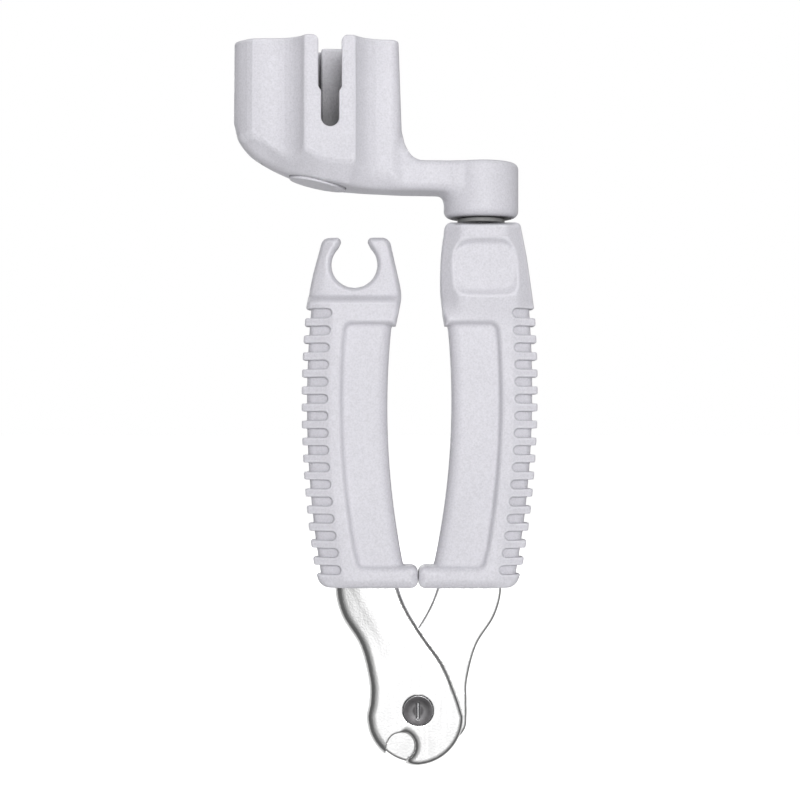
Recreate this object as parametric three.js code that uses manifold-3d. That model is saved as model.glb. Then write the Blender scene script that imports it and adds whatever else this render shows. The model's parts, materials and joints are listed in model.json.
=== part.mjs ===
// A guitar string winder with a string cutter and a bridge pin puller.
//
// Two plastic grips are moulded on the tangs of two crossed steel blades. The left grip ends in a pin puller
// notch. The right grip ends in a neck that holds a steel axle, and a crank turns freely on that axle. The crank
// carries the cup that fits over a tuning button.
//
// Millimetres, +Z up along the tool, -Y towards the user. The pieces are drawn round an origin on the cutter's
// pivot axis, in the plane where the two blades slide on each other, and the whole tool is moved at the end.
// "Reach" is distance from the middle plane x = 0.

import * as THREE from 'three';
import { mergeVertices } from 'three/addons/utils/BufferGeometryUtils.js';
import Module from 'manifold-3d';

const wasm = await Module();
wasm.setup();

// ---------------------------------------------------------------- driving dimensions

const BLADE_THICKNESS = 2.2;
const BLADE_GAP = 0.05; // from each blade to the sliding plane
const HEAD_RADIUS = 10.65; // round cutter end of a blade
const HEAD_REACH = 0.7;
const HEAD_Z = -1.45;
const CUT_RADIUS = 3.0; // notch that holds the string
const CUT_REACH = 3.8;
const CUT_Z = -7.9;
const TANG_TOP = 74;
const TANG_FIT = 0.3; // room round a tang inside its grip
const TANG_HOLES = [[14.2, 46], [16.2, 64]]; // reach and height
const TANG_HOLE_RADIUS = 1.7;

const GRIP_BOTTOM = 27.2;
const FLANGE_TOP = 31.7;
const PANEL_TOP = 84.3;
const FRAME_HALF_DEPTH = 5.2;
const PANEL_HALF_DEPTH = 4.3;
const EDGE_ROUND = 0.9;
const OUTER_EDGE = { reach: 25.35, middle: 68, radius: 215 }; // tips of the ribs
const INNER_EDGE = { reach: 6.9, middle: 66, radius: 155 };
const PANEL_EDGE = { reach: 16.4, middle: 68, radius: 190 };
const FLANGE_GAP = 0.15; // from each flange to the middle plane
const RIGHT_PLAY = 0.2; // extra gap on the right
const RIB_SLOTS = 16;
const RIB_PITCH = 3.73;
const FIRST_RIB_SLOT = 30.9;
const RIB_SLOT_HEIGHT = 2.0;
const RIB_SLOT_LENGTH = 5.7; // on the face, from the rib tips
const RIB_SLOT_DEPTH = 1.3; // at the outer edge
const RIB_FACE_DEPTH = 0.8; // on the faces

const PULLER_TOP = 103.2;
const PULLER_RADIUS = 5.05;
const PULLER_REACH = 14;
const PULLER_Z = 97.7;
const PULLER_MOUTH = 5.9;
const PULLER_HALF_DEPTH = 2.8;
const LIP_RADIUS = 0.72;

const NECK_TOP = 106.3;
const NECK_HALF_DEPTH = 6.8;
const AXLE_X = 13.85;
const AXLE_RADIUS = 3;
const AXLE_BOTTOM = 88;
const AXLE_TOP = 116.9;
const GROOVE_RADIUS = 2.3;
const GROOVE_BOTTOM = 114.2;
const GROOVE_TOP = 115.5;
const BORE_RADIUS = 3.2;

const PIVOT_HEAD_RADIUS = 3.3;
const PIVOT_SEAT_DEPTH = 1.1; // counterbore in the left blade
const PIVOT_HEAD_PROUD = 0.3;
const PIVOT_SHANK_RADIUS = 2.2;
const PIVOT_THREAD_RADIUS = 1.7;
const PIVOT_FIT = 0.15;
const WASHER_RADIUS = 3.9;
const WASHER_THICKNESS = 0.5;
const NUT_CORNER_RADIUS = 3.8;
const NUT_THICKNESS = 2.2;

const CRANK_ANGLE = 4; // degrees about the axle
const HUB_RADIUS = 8.2;
const HUB_BOTTOM = 107.7;
const ARM_TOP = 119.9;
const ARM_BOTTOM = 113.8;

const CUP_OUTER = 54; // distances from the axle along the crank
const CUP_INNER = 17.9;
const BAND_CENTRE = 33.5; // the raised band that carries the slot
const BAND_HALF_WIDTH = 5;
const BAND_HALF_DEPTH = 10.4;
const CUP_WALL = 2;
const CUP_FLOOR = 121;
const RIM = 145.8;
const KEEL_SLOPE = Math.tan(THREE.MathUtils.degToRad(12)); // the base drops towards the hub
const KEEL_LEVEL = 29.5; // where the sloping base meets the level of the arm
const SHOULDER_HEIGHT = 5; // of the rounded base
const SHOULDER_NARROWING = 0.42;
const OUTER_LEAN = 0.2; // the ends of the cup lean out this much from rim to base
const INNER_LEAN = 0.9;
const PLUG_RADIUS = 6.2;
const PLUG_CENTRE = 36;

const SEGMENTS = 40; // round a small circle

// ---------------------------------------------------------------- solids from three.js geometry

function solidOf(geometry) {
  const plain = geometry.clone();
  plain.deleteAttribute('normal');
  plain.deleteAttribute('uv');
  const merged = mergeVertices(plain, 1e-4);
  return new wasm.Manifold(
    new wasm.Mesh({
      numProp: 3,
      vertProperties: merged.attributes.position.array,
      triVerts: new Uint32Array(merged.index.array),
    }),
  );
}

function geometryOf(solid) {
  const mesh = solid.getMesh();
  const geometry = new THREE.BufferGeometry();
  geometry.setAttribute('position', new THREE.BufferAttribute(mesh.vertProperties, 3));
  geometry.setIndex(new THREE.BufferAttribute(mesh.triVerts, 1));
  return geometry;
}

const union = (solids) => solids.reduce((all, one) => all.add(one));

const shapeOf = (pairs) => new THREE.Shape(pairs.map(([x, y]) => new THREE.Vector2(x, y)));

// An outline in x and z, made solid from y = front to y = back, with its edges rounded by `round`.
function slab(pairs, front, back, round = 0) {
  const geometry = new THREE.ExtrudeGeometry(shapeOf(pairs), {
    depth: back - front - 2 * round,
    bevelEnabled: round > 0,
    bevelThickness: round,
    bevelSize: round,
    bevelOffset: -round,
    bevelSegments: 2,
  });
  geometry.rotateX(Math.PI / 2);
  geometry.translate(0, back - round, 0);
  return solidOf(geometry);
}

// An outline in x and y, made solid from z = bottom to z = top.
function column(shape, bottom, top) {
  const geometry = new THREE.ExtrudeGeometry(shape, {
    depth: top - bottom,
    bevelEnabled: false,
    curveSegments: 24,
  });
  geometry.translate(0, 0, bottom);
  return solidOf(geometry);
}

// An outline in y and z, made solid from x = left to x = right.
function beam(pairs, left, right) {
  const geometry = new THREE.ExtrudeGeometry(shapeOf(pairs), {
    depth: right - left,
    bevelEnabled: false,
  });
  geometry.rotateX(Math.PI / 2);
  geometry.rotateZ(Math.PI / 2);
  geometry.translate(left, 0, 0);
  return solidOf(geometry);
}

// Rings of equally many [x, y, z] points, lowest ring first, closed above and below.
function loft(rings) {
  const count = rings[0].length;
  const cap = THREE.ShapeUtils.triangulateShape(rings[0].map(([x, y]) => new THREE.Vector2(x, y)), []);
  const index = [];
  rings.slice(1).forEach((ring, level) => {
    for (let i = 0; i < count; i++) {
      const low = level * count + i;
      const lowNext = level * count + ((i + 1) % count);
      index.push(low, lowNext, lowNext + count, low, lowNext + count, low + count);
    }
  });
  const top = (rings.length - 1) * count;
  for (const [a, b, c] of cap) {
    index.push(a, c, b, top + a, top + b, top + c);
  }
  const geometry = new THREE.BufferGeometry();
  geometry.setAttribute('position', new THREE.Float32BufferAttribute(rings.flat(2), 3));
  geometry.setIndex(index);
  return solidOf(geometry);
}

function block(x0, x1, y0, y1, z0, z1) {
  const geometry = new THREE.BoxGeometry(x1 - x0, y1 - y0, z1 - z0);
  geometry.translate((x0 + x1) / 2, (y0 + y1) / 2, (z0 + z1) / 2);
  return solidOf(geometry);
}

// Turned about the line x = x, y = 0. The profile holds [radius, z] pairs, bottom to top.
function turned(profile, x = 0) {
  const points = profile.map(([radius, z]) => new THREE.Vector2(radius, z));
  const geometry = new THREE.LatheGeometry(points, SEGMENTS);
  geometry.rotateX(Math.PI / 2);
  geometry.translate(x, 0, 0);
  return solidOf(geometry);
}

// Turned about the y axis. The profile holds [radius, y] pairs, front to back.
function turnedAcross(profile, segments = SEGMENTS) {
  const points = profile.map(([radius, y]) => new THREE.Vector2(radius, y));
  return solidOf(new THREE.LatheGeometry(points, segments));
}

// A round pin or hole along y.
function rod(x, z, radius, front, back) {
  const geometry = new THREE.CylinderGeometry(radius, radius, back - front, SEGMENTS);
  geometry.translate(x, (front + back) / 2, z);
  return solidOf(geometry);
}

// ---------------------------------------------------------------- outlines

// Points on a circle round (x, y), from one angle in degrees to another.
function arc(x, y, radius, from, to, steps = 4) {
  const points = [];
  for (let i = 0; i <= steps; i++) {
    const angle = THREE.MathUtils.degToRad(from + ((to - from) * i) / steps);
    points.push([x + radius * Math.cos(angle), y + radius * Math.sin(angle)]);
  }
  return points;
}

// Reach of a bowed edge at height z.
const bowed = (edge, z) => edge.reach - edge.radius + Math.sqrt(edge.radius ** 2 - (z - edge.middle) ** 2);

// Points along a bowed edge from one height to another.
function bow(edge, from, to, steps, inset = 0) {
  const points = [];
  for (let i = 0; i <= steps; i++) {
    const z = from + ((to - from) * i) / steps;
    points.push([bowed(edge, z) - inset, z]);
  }
  return points;
}

// Outlines are drawn as reach and height. Side -1 is the left handle and side +1 the right.
const onSide = (side, pairs) => pairs.map(([reach, z]) => [side * reach, z]);

const curve = (pairs, steps) =>
  new THREE.SplineCurve(pairs.map(([x, y]) => new THREE.Vector2(x, y)))
    .getPoints(steps)
    .map((point) => [point.x, point.y]);

// ---------------------------------------------------------------- cutter blades

// A blade crosses over at the pivot: its head is centred a little beyond the middle plane.
function bladeOutline() {
  const outerEdge = [
    [17.3, 34],
    [18.4, 26.8],
    [16.9, 20.5],
    [12.9, 14],
    [10.9, 6.6],
    [10.9, 2],
    [HEAD_REACH + HEAD_RADIUS, HEAD_Z],
  ];
  const innerEdge = [
    [HEAD_REACH - HEAD_RADIUS, HEAD_Z],
    [-8.5, 3.1],
    [-5.5, 10.1],
    [-0.6, 17.1],
    [3.3, 24.1],
    [6.4, 34],
  ];
  return [
    ...curve(outerEdge, 18),
    ...arc(HEAD_REACH, HEAD_Z, HEAD_RADIUS, -9, -171, 18),
    ...curve(innerEdge, 14),
    [9.6, 38],
    [13.4, TANG_TOP - 2],
    [14.9, TANG_TOP],
    [18.2, TANG_TOP],
    [19.6, TANG_TOP - 2],
    [17.3, 38],
  ];
}

const bladeFront = (side) => (side < 0 ? -BLADE_GAP - BLADE_THICKNESS : BLADE_GAP);

// Drawn on the left and mirrored for the right. Only the left blade is counterbored for the screw's head.
function blade(side) {
  const front = bladeFront(side);
  const back = front + BLADE_THICKNESS;
  const mouth = block(-CUT_RADIUS * 0.95, CUT_RADIUS * 0.65, front - 1, back + 1, -20, 0)
    .rotate([0, 14, 0])
    .translate([-CUT_REACH, 0, CUT_Z]);
  const cuts = [
    rod(-CUT_REACH, CUT_Z, CUT_RADIUS, front - 1, back + 1),
    mouth,
    rod(0, 0, PIVOT_SHANK_RADIUS + PIVOT_FIT, front - 1, back + 1),
  ];
  for (const [reach, z] of TANG_HOLES) {
    cuts.push(rod(-reach, z, TANG_HOLE_RADIUS, front - 1, back + 1));
  }
  if (side < 0) {
    cuts.push(rod(0, 0, PIVOT_HEAD_RADIUS + PIVOT_FIT, front - 1, front + PIVOT_SEAT_DEPTH));
  }
  const drawn = slab(onSide(-1, bladeOutline()), front, back).subtract(union(cuts));
  return side < 0 ? drawn : drawn.mirror([1, 0, 0]);
}

// ---------------------------------------------------------------- cutter pivot

const bladesFront = -BLADE_GAP - BLADE_THICKNESS;
const bladesBack = BLADE_GAP + BLADE_THICKNESS;
const washerFront = bladesBack + PIVOT_FIT;
const nutFront = washerFront + WASHER_THICKNESS + PIVOT_FIT;
const nutBack = nutFront + NUT_THICKNESS;

function pivotScrew() {
  const headFront = bladesFront - PIVOT_HEAD_PROUD;
  const headBack = bladesFront + PIVOT_SEAT_DEPTH - PIVOT_FIT;
  const screw = turnedAcross([
    [0, headFront],
    [PIVOT_HEAD_RADIUS - 0.3, headFront],
    [PIVOT_HEAD_RADIUS, headFront + 0.3],
    [PIVOT_HEAD_RADIUS, headBack],
    [PIVOT_SHANK_RADIUS, headBack],
    [PIVOT_SHANK_RADIUS, bladesBack],
    [PIVOT_THREAD_RADIUS, bladesBack],
    [PIVOT_THREAD_RADIUS, nutBack + 0.2],
    [PIVOT_THREAD_RADIUS - 0.3, nutBack + 0.5],
    [0, nutBack + 0.5],
  ]);
  return screw.subtract(block(-0.4, 0.4, headFront - 1, headFront + 0.6, -1.9, 1.9));
}

function pivotWasher() {
  const disc = rod(0, 0, WASHER_RADIUS, washerFront, washerFront + WASHER_THICKNESS);
  return disc.subtract(rod(0, 0, PIVOT_THREAD_RADIUS + PIVOT_FIT, washerFront - 1, nutBack));
}

function pivotNut() {
  const chamfer = 0.4;
  const hexagon = turnedAcross(
    [
      [0, nutFront],
      [NUT_CORNER_RADIUS, nutFront],
      [NUT_CORNER_RADIUS, nutBack - chamfer],
      [NUT_CORNER_RADIUS - chamfer, nutBack],
      [0, nutBack],
    ],
    6,
  );
  return hexagon.subtract(rod(0, 0, PIVOT_THREAD_RADIUS + 0.1, nutFront - 1, nutBack + 1));
}

// ---------------------------------------------------------------- grips

// The proud part of both grips: flange, outer band, and a block above the panel up to z = 92.
function frameOutline(headPairs) {
  const corner = 1.3;
  const panelCorner = 1.4;
  const panelLow = bowed(PANEL_EDGE, FLANGE_TOP);
  const panelHigh = bowed(PANEL_EDGE, PANEL_TOP);
  const tip = bowed(OUTER_EDGE, GRIP_BOTTOM);
  return [
    ...arc(FLANGE_GAP + corner, GRIP_BOTTOM + corner, corner, 270, 180),
    ...arc(FLANGE_GAP + corner, FLANGE_TOP - corner, corner, 180, 90),
    ...arc(panelLow - panelCorner, FLANGE_TOP + panelCorner, panelCorner, 270, 350, 3),
    ...bow(PANEL_EDGE, FLANGE_TOP + 4, PANEL_TOP - 4, 8),
    ...arc(panelHigh - panelCorner, PANEL_TOP - panelCorner, panelCorner, 10, 90, 3),
    ...headPairs,
    ...bow(OUTER_EDGE, 87, GRIP_BOTTOM + 4, 12),
    ...arc(tip - 3, GRIP_BOTTOM + 3, 3, -15, -90),
  ];
}

// The recessed panel, from the flange to the block.
function panelOutline() {
  return [
    ...bow(INNER_EDGE, FLANGE_TOP - 2, PANEL_TOP + 2, 10),
    [19, PANEL_TOP + 2],
    [19, 60],
    [16, FLANGE_TOP - 2],
  ];
}

// Slots between the ribs. They run round the outer edge and end on the faces.
function ribSlots(side) {
  const half = RIB_SLOT_HEIGHT / 2;
  const slots = [];
  for (let i = 0; i < RIB_SLOTS; i++) {
    const z = FIRST_RIB_SLOT + i * RIB_PITCH;
    const end = bowed(OUTER_EDGE, z) - RIB_SLOT_LENGTH + half;
    const outline = [[30, z - half], [30, z + half], ...arc(end, z, half, 90, 270)];
    slots.push(slab(onSide(side, outline), -10, 10));
  }
  const above = FIRST_RIB_SLOT + RIB_SLOTS * RIB_PITCH;
  const below = GRIP_BOTTOM - 5;
  const coreOutline = [...bow(OUTER_EDGE, below, above, 12, RIB_SLOT_DEPTH), [5, above], [5, below]];
  const coreHalfDepth = FRAME_HALF_DEPTH - RIB_FACE_DEPTH;
  return union(slots).subtract(slab(onSide(side, coreOutline), -coreHalfDepth, coreHalfDepth, EDGE_ROUND));
}

// Room for the blade's tang, less the plugs of plastic that go through its holes.
function tangPocket(side) {
  const fit = TANG_FIT;
  const outline = [
    [17.8 + fit, 34],
    [18.6 + fit, 28.5],
    [18.6 + fit, GRIP_BOTTOM - 1],
    [4 - fit, GRIP_BOTTOM - 1],
    [6.2 - fit, 34],
    [9.6 - fit, 38 + fit],
    [13.4 - fit, TANG_TOP - 2 + fit],
    [14.9 - fit, TANG_TOP + fit],
    [18.2 + fit, TANG_TOP + fit],
    [19.6 + fit, TANG_TOP - 2 + fit],
    [17.3 + fit, 38],
  ];
  const front = bladeFront(side) - 0.15;
  const back = front + BLADE_THICKNESS + 0.3;
  const plugs = TANG_HOLES.map(([reach, z]) =>
    rod(side * reach, z, TANG_HOLE_RADIUS - 0.2, front - 0.1, back + 0.1),
  );
  return slab(onSide(side, outline), front, back).subtract(union(plugs));
}

function handle(side, headPairs) {
  const frame = slab(onSide(side, frameOutline(headPairs)), -FRAME_HALF_DEPTH, FRAME_HALF_DEPTH, EDGE_ROUND);
  const panel = slab(onSide(side, panelOutline()), -PANEL_HALF_DEPTH, PANEL_HALF_DEPTH, EDGE_ROUND);
  return frame.add(panel).subtract(ribSlots(side));
}

// The two jaws of the puller and the notch between them, as one outline.
function pullerOutline() {
  const lipReach = PULLER_MOUTH / 2 + LIP_RADIUS;
  const lipZ = PULLER_TOP - LIP_RADIUS;
  const notchStart = 49;
  return [
    [7, 84],
    [5, 84],
    [3.75, 91.5],
    ...arc(7.9, PULLER_TOP - 2, 2, 165, 90),
    ...arc(PULLER_REACH - lipReach, lipZ, LIP_RADIUS, 90, -60),
    ...arc(PULLER_REACH, PULLER_Z, PULLER_RADIUS, 180 - notchStart, 360 + notchStart, 26),
    ...arc(PULLER_REACH + lipReach, lipZ, LIP_RADIUS, 240, 90),
    ...arc(19.6, PULLER_TOP - 2, 2, 90, 18),
    [23.7, 92],
    [24.3, 86],
    [22, 84],
  ];
}

function leftGrip() {
  const headPairs = [
    [5.3, PANEL_TOP],
    [3.8, 90.5],
    [3.9, 92],
    [23.6, 92],
    [24.15, 89],
  ];
  const slope = [
    [FRAME_HALF_DEPTH + 1, 88.6],
    [FRAME_HALF_DEPTH, 89],
    [PULLER_HALF_DEPTH + 0.9, 90.2],
    [PULLER_HALF_DEPTH, 92.1],
    [PULLER_HALF_DEPTH, 94],
    [FRAME_HALF_DEPTH + 1, 94],
  ];
  const front = beam(slope.map(([y, z]) => [-y, z]), -40, 0);
  const back = beam(slope, -40, 0);
  const puller = slab(onSide(-1, pullerOutline()), -PULLER_HALF_DEPTH, PULLER_HALF_DEPTH, 0.6);
  return handle(-1, headPairs).subtract(front.add(back)).add(puller).subtract(tangPocket(-1));
}

// The neck is thicker than the rest of the grip, with a hollow front and back for finger and thumb.
function neck() {
  const outline = [
    [7, PANEL_TOP - 1.5],
    [5.5, PANEL_TOP],
    [4.75, 88],
    [4.6, 94],
    [5.1, 100.5],
    ...arc(8.1, NECK_TOP - 2.2, 2.2, 170, 90),
    ...arc(20.5, NECK_TOP - 2.2, 2.2, 90, 5),
    [23.5, 99],
    [24.6, 92],
    [24.9, 88],
    [22, PANEL_TOP - 1.5],
  ];
  const body = slab(outline, -NECK_HALF_DEPTH, NECK_HALF_DEPTH, 2);
  const hollow = new THREE.SphereGeometry(1, 28, 16);
  hollow.scale(9.4, 4, 6.3);
  hollow.rotateX(THREE.MathUtils.degToRad(5));
  hollow.translate(14.9, NECK_HALF_DEPTH + 2.4, 95.4);
  const slope = [
    [NECK_HALF_DEPTH + 1, 80],
    [FRAME_HALF_DEPTH, 80],
    [FRAME_HALF_DEPTH, 88],
    [NECK_HALF_DEPTH, 91.5],
    [NECK_HALF_DEPTH + 1, 91.5],
  ];
  const back = solidOf(hollow).add(beam(slope, 0, 40));
  return body.subtract(back).subtract(back.mirror([0, 1, 0]));
}

function rightGrip() {
  const headPairs = [
    [6.5, PANEL_TOP],
    [6.5, 87.5],
    [24.6, 87.5],
  ];
  const seat = turned(
    [
      [0, AXLE_BOTTOM - 0.2],
      [AXLE_RADIUS + 0.1, AXLE_BOTTOM - 0.2],
      [AXLE_RADIUS + 0.1, NECK_TOP + 1],
      [0, NECK_TOP + 1],
    ],
    AXLE_X,
  );
  return handle(1, headPairs).add(neck()).translate([RIGHT_PLAY, 0, 0]).subtract(seat).subtract(tangPocket(1));
}

// ---------------------------------------------------------------- axle of the crank

function crankAxle() {
  const gripGroove = (z) => [
    [AXLE_RADIUS, z],
    [AXLE_RADIUS - 0.5, z + 0.3],
    [AXLE_RADIUS - 0.5, z + 1.3],
    [AXLE_RADIUS, z + 1.6],
  ];
  return turned(
    [
      [0, AXLE_BOTTOM],
      [AXLE_RADIUS - 0.4, AXLE_BOTTOM],
      [AXLE_RADIUS, AXLE_BOTTOM + 0.4],
      ...gripGroove(90),
      ...gripGroove(94),
      ...gripGroove(98),
      [AXLE_RADIUS, GROOVE_BOTTOM],
      [GROOVE_RADIUS, GROOVE_BOTTOM],
      [GROOVE_RADIUS, GROOVE_TOP],
      [AXLE_RADIUS - 0.1, GROOVE_TOP],
      [AXLE_RADIUS - 0.1, AXLE_TOP - 0.6],
      [AXLE_RADIUS - 0.7, AXLE_TOP],
      [0, AXLE_TOP],
    ],
    AXLE_X,
  );
}

function thrustWasher() {
  const bottom = NECK_TOP + 0.15;
  const top = HUB_BOTTOM - 0.15;
  const outer = 5.2;
  const inner = BORE_RADIUS;
  const profile = [
    [inner, bottom],
    [outer, bottom],
    [outer, top],
    [inner, top],
    [inner, bottom],
  ];
  return turned(profile, AXLE_X);
}

// A split ring in the axle's groove keeps the crank on.
function retainingRing() {
  const opening = THREE.MathUtils.degToRad(28);
  const shape = new THREE.Shape();
  shape.absarc(AXLE_X, 0, 3.75, opening, 2 * Math.PI - opening, false);
  shape.absarc(AXLE_X, 0, GROOVE_RADIUS + 0.15, 2 * Math.PI - opening, opening, true);
  return column(shape, GROOVE_BOTTOM + 0.25, GROOVE_TOP - 0.25);
}

// ---------------------------------------------------------------- crank, in its own frame with the axle at x = 0
// The crank lies along -x. "Along" is distance from the axle, and depth is measured from the crank's middle plane.

// Half of the cup's plan, from its outer end, over the band, to the end by the arm.
function cupHalfPlan() {
  const left = BAND_CENTRE + BAND_HALF_WIDTH;
  const right = BAND_CENTRE - BAND_HALF_WIDTH;
  return [
    [CUP_OUTER, 0.9],
    [CUP_OUTER - 0.6, 2.2],
    [CUP_OUTER - 2.2, 3.6],
    [CUP_OUTER - 4.6, 4.7],
    [left + 6.5, 5.9],
    [left + 3.2, 6.7],
    [left + 1.5, 8.2],
    [left + 0.7, BAND_HALF_DEPTH - 0.6],
    [left - 0.2, BAND_HALF_DEPTH],
    [right + 0.2, BAND_HALF_DEPTH],
    [right - 0.7, BAND_HALF_DEPTH - 0.6],
    [right - 1.5, 8],
    [right - 3, 6.5],
    [right - 5.5, 6.1],
    [CUP_INNER + 1.4, 5.8],
    [CUP_INNER + 0.4, 5.2],
    [CUP_INNER, 4],
  ];
}

// The plan narrowed in depth, shortened at each end, and placed at the height that `level` gives.
function cupRing(depthShare, outerTrim, innerTrim, level) {
  const length = CUP_OUTER - CUP_INNER;
  const front = cupHalfPlan().map(([along, depth]) => {
    const share = (along - CUP_INNER) / length;
    return [along - outerTrim * share + innerTrim * (1 - share), -depth * depthShare];
  });
  const back = front.map(([along, y]) => [along, -y]).reverse();
  return [...front, ...back].map(([along, y]) => [-along, y, level(along)]);
}

const keel = (along) => ARM_BOTTOM + Math.max(0, along - KEEL_LEVEL) * KEEL_SLOPE;

// The outside of the cup. Its rounded base follows the keel, and its wall leans out a little towards the base.
function cupBody() {
  const rings = [];
  for (const angle of [0, 25, 50, 75]) {
    const turn = THREE.MathUtils.degToRad(angle);
    const share = 1 - SHOULDER_NARROWING * (1 - Math.sin(turn));
    const rise = SHOULDER_HEIGHT * (1 - Math.cos(turn));
    const trim = 1.4 * (1 - Math.sin(turn));
    rings.push(cupRing(share, trim - OUTER_LEAN, trim - INNER_LEAN, (along) => keel(along) + rise));
  }
  rings.push(cupRing(1.01, -OUTER_LEAN, -INNER_LEAN, (along) => keel(along) + SHOULDER_HEIGHT + 1));
  rings.push(cupRing(1, 0, 0, () => RIM - 0.6));
  rings.push(cupRing(0.985, 0.18, 0.18, () => RIM - 0.15));
  rings.push(cupRing(0.95, 0.55, 0.55, () => RIM));
  return loft(rings);
}

// Side view of the cup with its rounded nose. The nose starts on the flat outer end and runs out on the keel.
// An inset moves it inwards and up by the thickness of the wall.
function noseOutline(inset) {
  const nose = curve(
    [
      [CUP_OUTER + 0.3, 127],
      [CUP_OUTER - 1.1, 123.9],
      [CUP_OUTER - 3.2, 121.5],
      [CUP_OUTER - 6, 119.7],
      [CUP_OUTER - 11.5, 116.6],
    ],
    10,
  );
  return [
    [0, 160],
    [CUP_OUTER + 1, 160],
    [CUP_OUTER + 1, 127.5],
    ...nose,
    [36, 114.6],
    [KEEL_LEVEL, 112],
    [0, 112],
  ].map(([along, z]) => [-along + inset, z + inset]);
}

// Room for a tuning button: a flat pocket, deeper in the middle where the string post sits.
function cupCavity() {
  const pocket = [
    [CUP_OUTER - CUP_WALL, 1],
    [CUP_OUTER - CUP_WALL - 2.4, 2.6],
    [BAND_CENTRE + 12, 3.9],
    [BAND_CENTRE + 7.4, 4.5],
    [BAND_CENTRE - 7.4, 4.4],
    [CUP_INNER + CUP_WALL + 0.8, 4],
    [CUP_INNER + CUP_WALL, 3.2],
  ];
  const outline = [...pocket, ...[...pocket].reverse().map(([along, depth]) => [along, -depth])];
  const shape = shapeOf(outline.map(([along, depth]) => [-along, depth]));
  const channelHalf = 2.3;
  const channel = block(
    -BAND_CENTRE - 2.6 - channelHalf,
    -BAND_CENTRE - 2.6 + channelHalf,
    0,
    BAND_HALF_DEPTH - CUP_WALL,
    CUP_FLOOR,
    160,
  );
  const throat = block(-BAND_CENTRE - 3.4, -BAND_CENTRE + 3.4, -BAND_HALF_DEPTH + CUP_WALL, 0, CUP_FLOOR, 160);
  const room = union([column(shape, CUP_FLOOR, 160), channel, throat]);
  return room.intersect(slab(noseOutline(CUP_WALL), -20, 20));
}

// The slot in the cup's front wall: wide above, narrow below, with a round end.
function cupSlot() {
  const wide = 2.55;
  const narrow = 1.95;
  const step = 134.2;
  const bottom = 126.2;
  const outline = [
    [wide, 160],
    [wide, step + 0.4],
    [narrow, step - 0.6],
    ...arc(0, bottom + narrow, narrow, 0, -180, 10),
    [-narrow, step - 0.6],
    [-wide, step + 0.4],
    [-wide, 160],
  ];
  return slab(outline.map(([x, z]) => [x - BAND_CENTRE, z]), -20, 0);
}

// The arm widens from the cup to the hub, and its top runs up the cup's wall in a fillet.
function crankArm() {
  const fillet = 4.3;
  const wall = CUP_INNER - 0.7;
  const side = [
    [22, ARM_TOP + fillet],
    [wall, ARM_TOP + fillet],
    ...arc(wall - fillet, ARM_TOP + fillet, fillet, 350, 270, 6).slice(0, -1),
    [wall - fillet, ARM_TOP],
    [0, ARM_TOP],
    [0, ARM_BOTTOM],
    [30, ARM_BOTTOM],
    [30, ARM_TOP],
  ];
  const plan = [
    [30, 5.4],
    [20, 6.2],
    [12, 6.9],
    [5, 7.8],
    [0, HUB_RADIUS],
  ];
  const outline = [...plan, ...[...plan].reverse().map(([along, depth]) => [along, -depth])];
  const prism = column(shapeOf(outline.map(([along, depth]) => [-along, depth])), ARM_BOTTOM - 1, ARM_TOP + 10);
  return prism.intersect(slab(side.map(([along, z]) => [-along, z]), -12, 12));
}

function crankHub() {
  return turned([
    [0, HUB_BOTTOM],
    [HUB_RADIUS - 1.2, HUB_BOTTOM],
    [HUB_RADIUS - 0.3, HUB_BOTTOM + 0.4],
    [HUB_RADIUS, HUB_BOTTOM + 1.3],
    [HUB_RADIUS, ARM_TOP - 1.8],
    [HUB_RADIUS - 0.5, ARM_TOP - 0.6],
    [HUB_RADIUS - 1.6, ARM_TOP],
    [0, ARM_TOP],
  ]);
}

function hubBore() {
  const ringRoom = 4;
  return turned([
    [0, HUB_BOTTOM - 1],
    [BORE_RADIUS, HUB_BOTTOM - 1],
    [BORE_RADIUS, GROOVE_BOTTOM - 0.1],
    [ringRoom, GROOVE_BOTTOM - 0.1],
    [ringRoom, GROOVE_TOP + 0.1],
    [BORE_RADIUS, GROOVE_TOP + 0.1],
    [BORE_RADIUS, AXLE_TOP + 0.4],
    [0, AXLE_TOP + 0.4],
  ]);
}

// A disc square to the sloping base, from `proud` below it to `depth` above it.
function baseDisc(radius, proud, depth) {
  const geometry = new THREE.CylinderGeometry(radius, radius, depth + proud, SEGMENTS);
  geometry.rotateX(Math.PI / 2);
  geometry.translate(0, 0, (depth - proud) / 2);
  geometry.rotateY(Math.atan(KEEL_SLOPE));
  geometry.translate(-PLUG_CENTRE, 0, keel(PLUG_CENTRE));
  return solidOf(geometry);
}

function crank() {
  const cup = cupBody().intersect(slab(noseOutline(0), -20, 20));
  return union([cup, crankArm(), crankHub()])
    .subtract(cupCavity())
    .subtract(cupSlot())
    .subtract(hubBore())
    .subtract(baseDisc(PLUG_RADIUS + 0.15, 6, 1.5));
}

const basePlug = () => baseDisc(PLUG_RADIUS, 0.6, 1.3);

// ---------------------------------------------------------------- materials and scene graph

const plastic = () => new THREE.MeshStandardMaterial({ color: 0xd9d8e0, roughness: 0.55, metalness: 0 });
const chrome = () => new THREE.MeshStandardMaterial({ color: 0xd8d8da, roughness: 0.12, metalness: 1 });
const darkSteel = () => new THREE.MeshStandardMaterial({ color: 0x5c5a5c, roughness: 0.35, metalness: 1 });
const steel = () => new THREE.MeshStandardMaterial({ color: 0x9a9a9c, roughness: 0.3, metalness: 1 });
const nylon = () => new THREE.MeshStandardMaterial({ color: 0x3c3b3e, roughness: 0.6, metalness: 0 });

function part(name, solid, material) {
  const mesh = new THREE.Mesh(geometryOf(solid), material);
  mesh.name = name;
  return mesh;
}

const leftHandle = new THREE.Group();
leftHandle.add(part('left_grip', leftGrip(), plastic()));
leftHandle.add(part('left_blade', blade(-1), chrome()));

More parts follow.
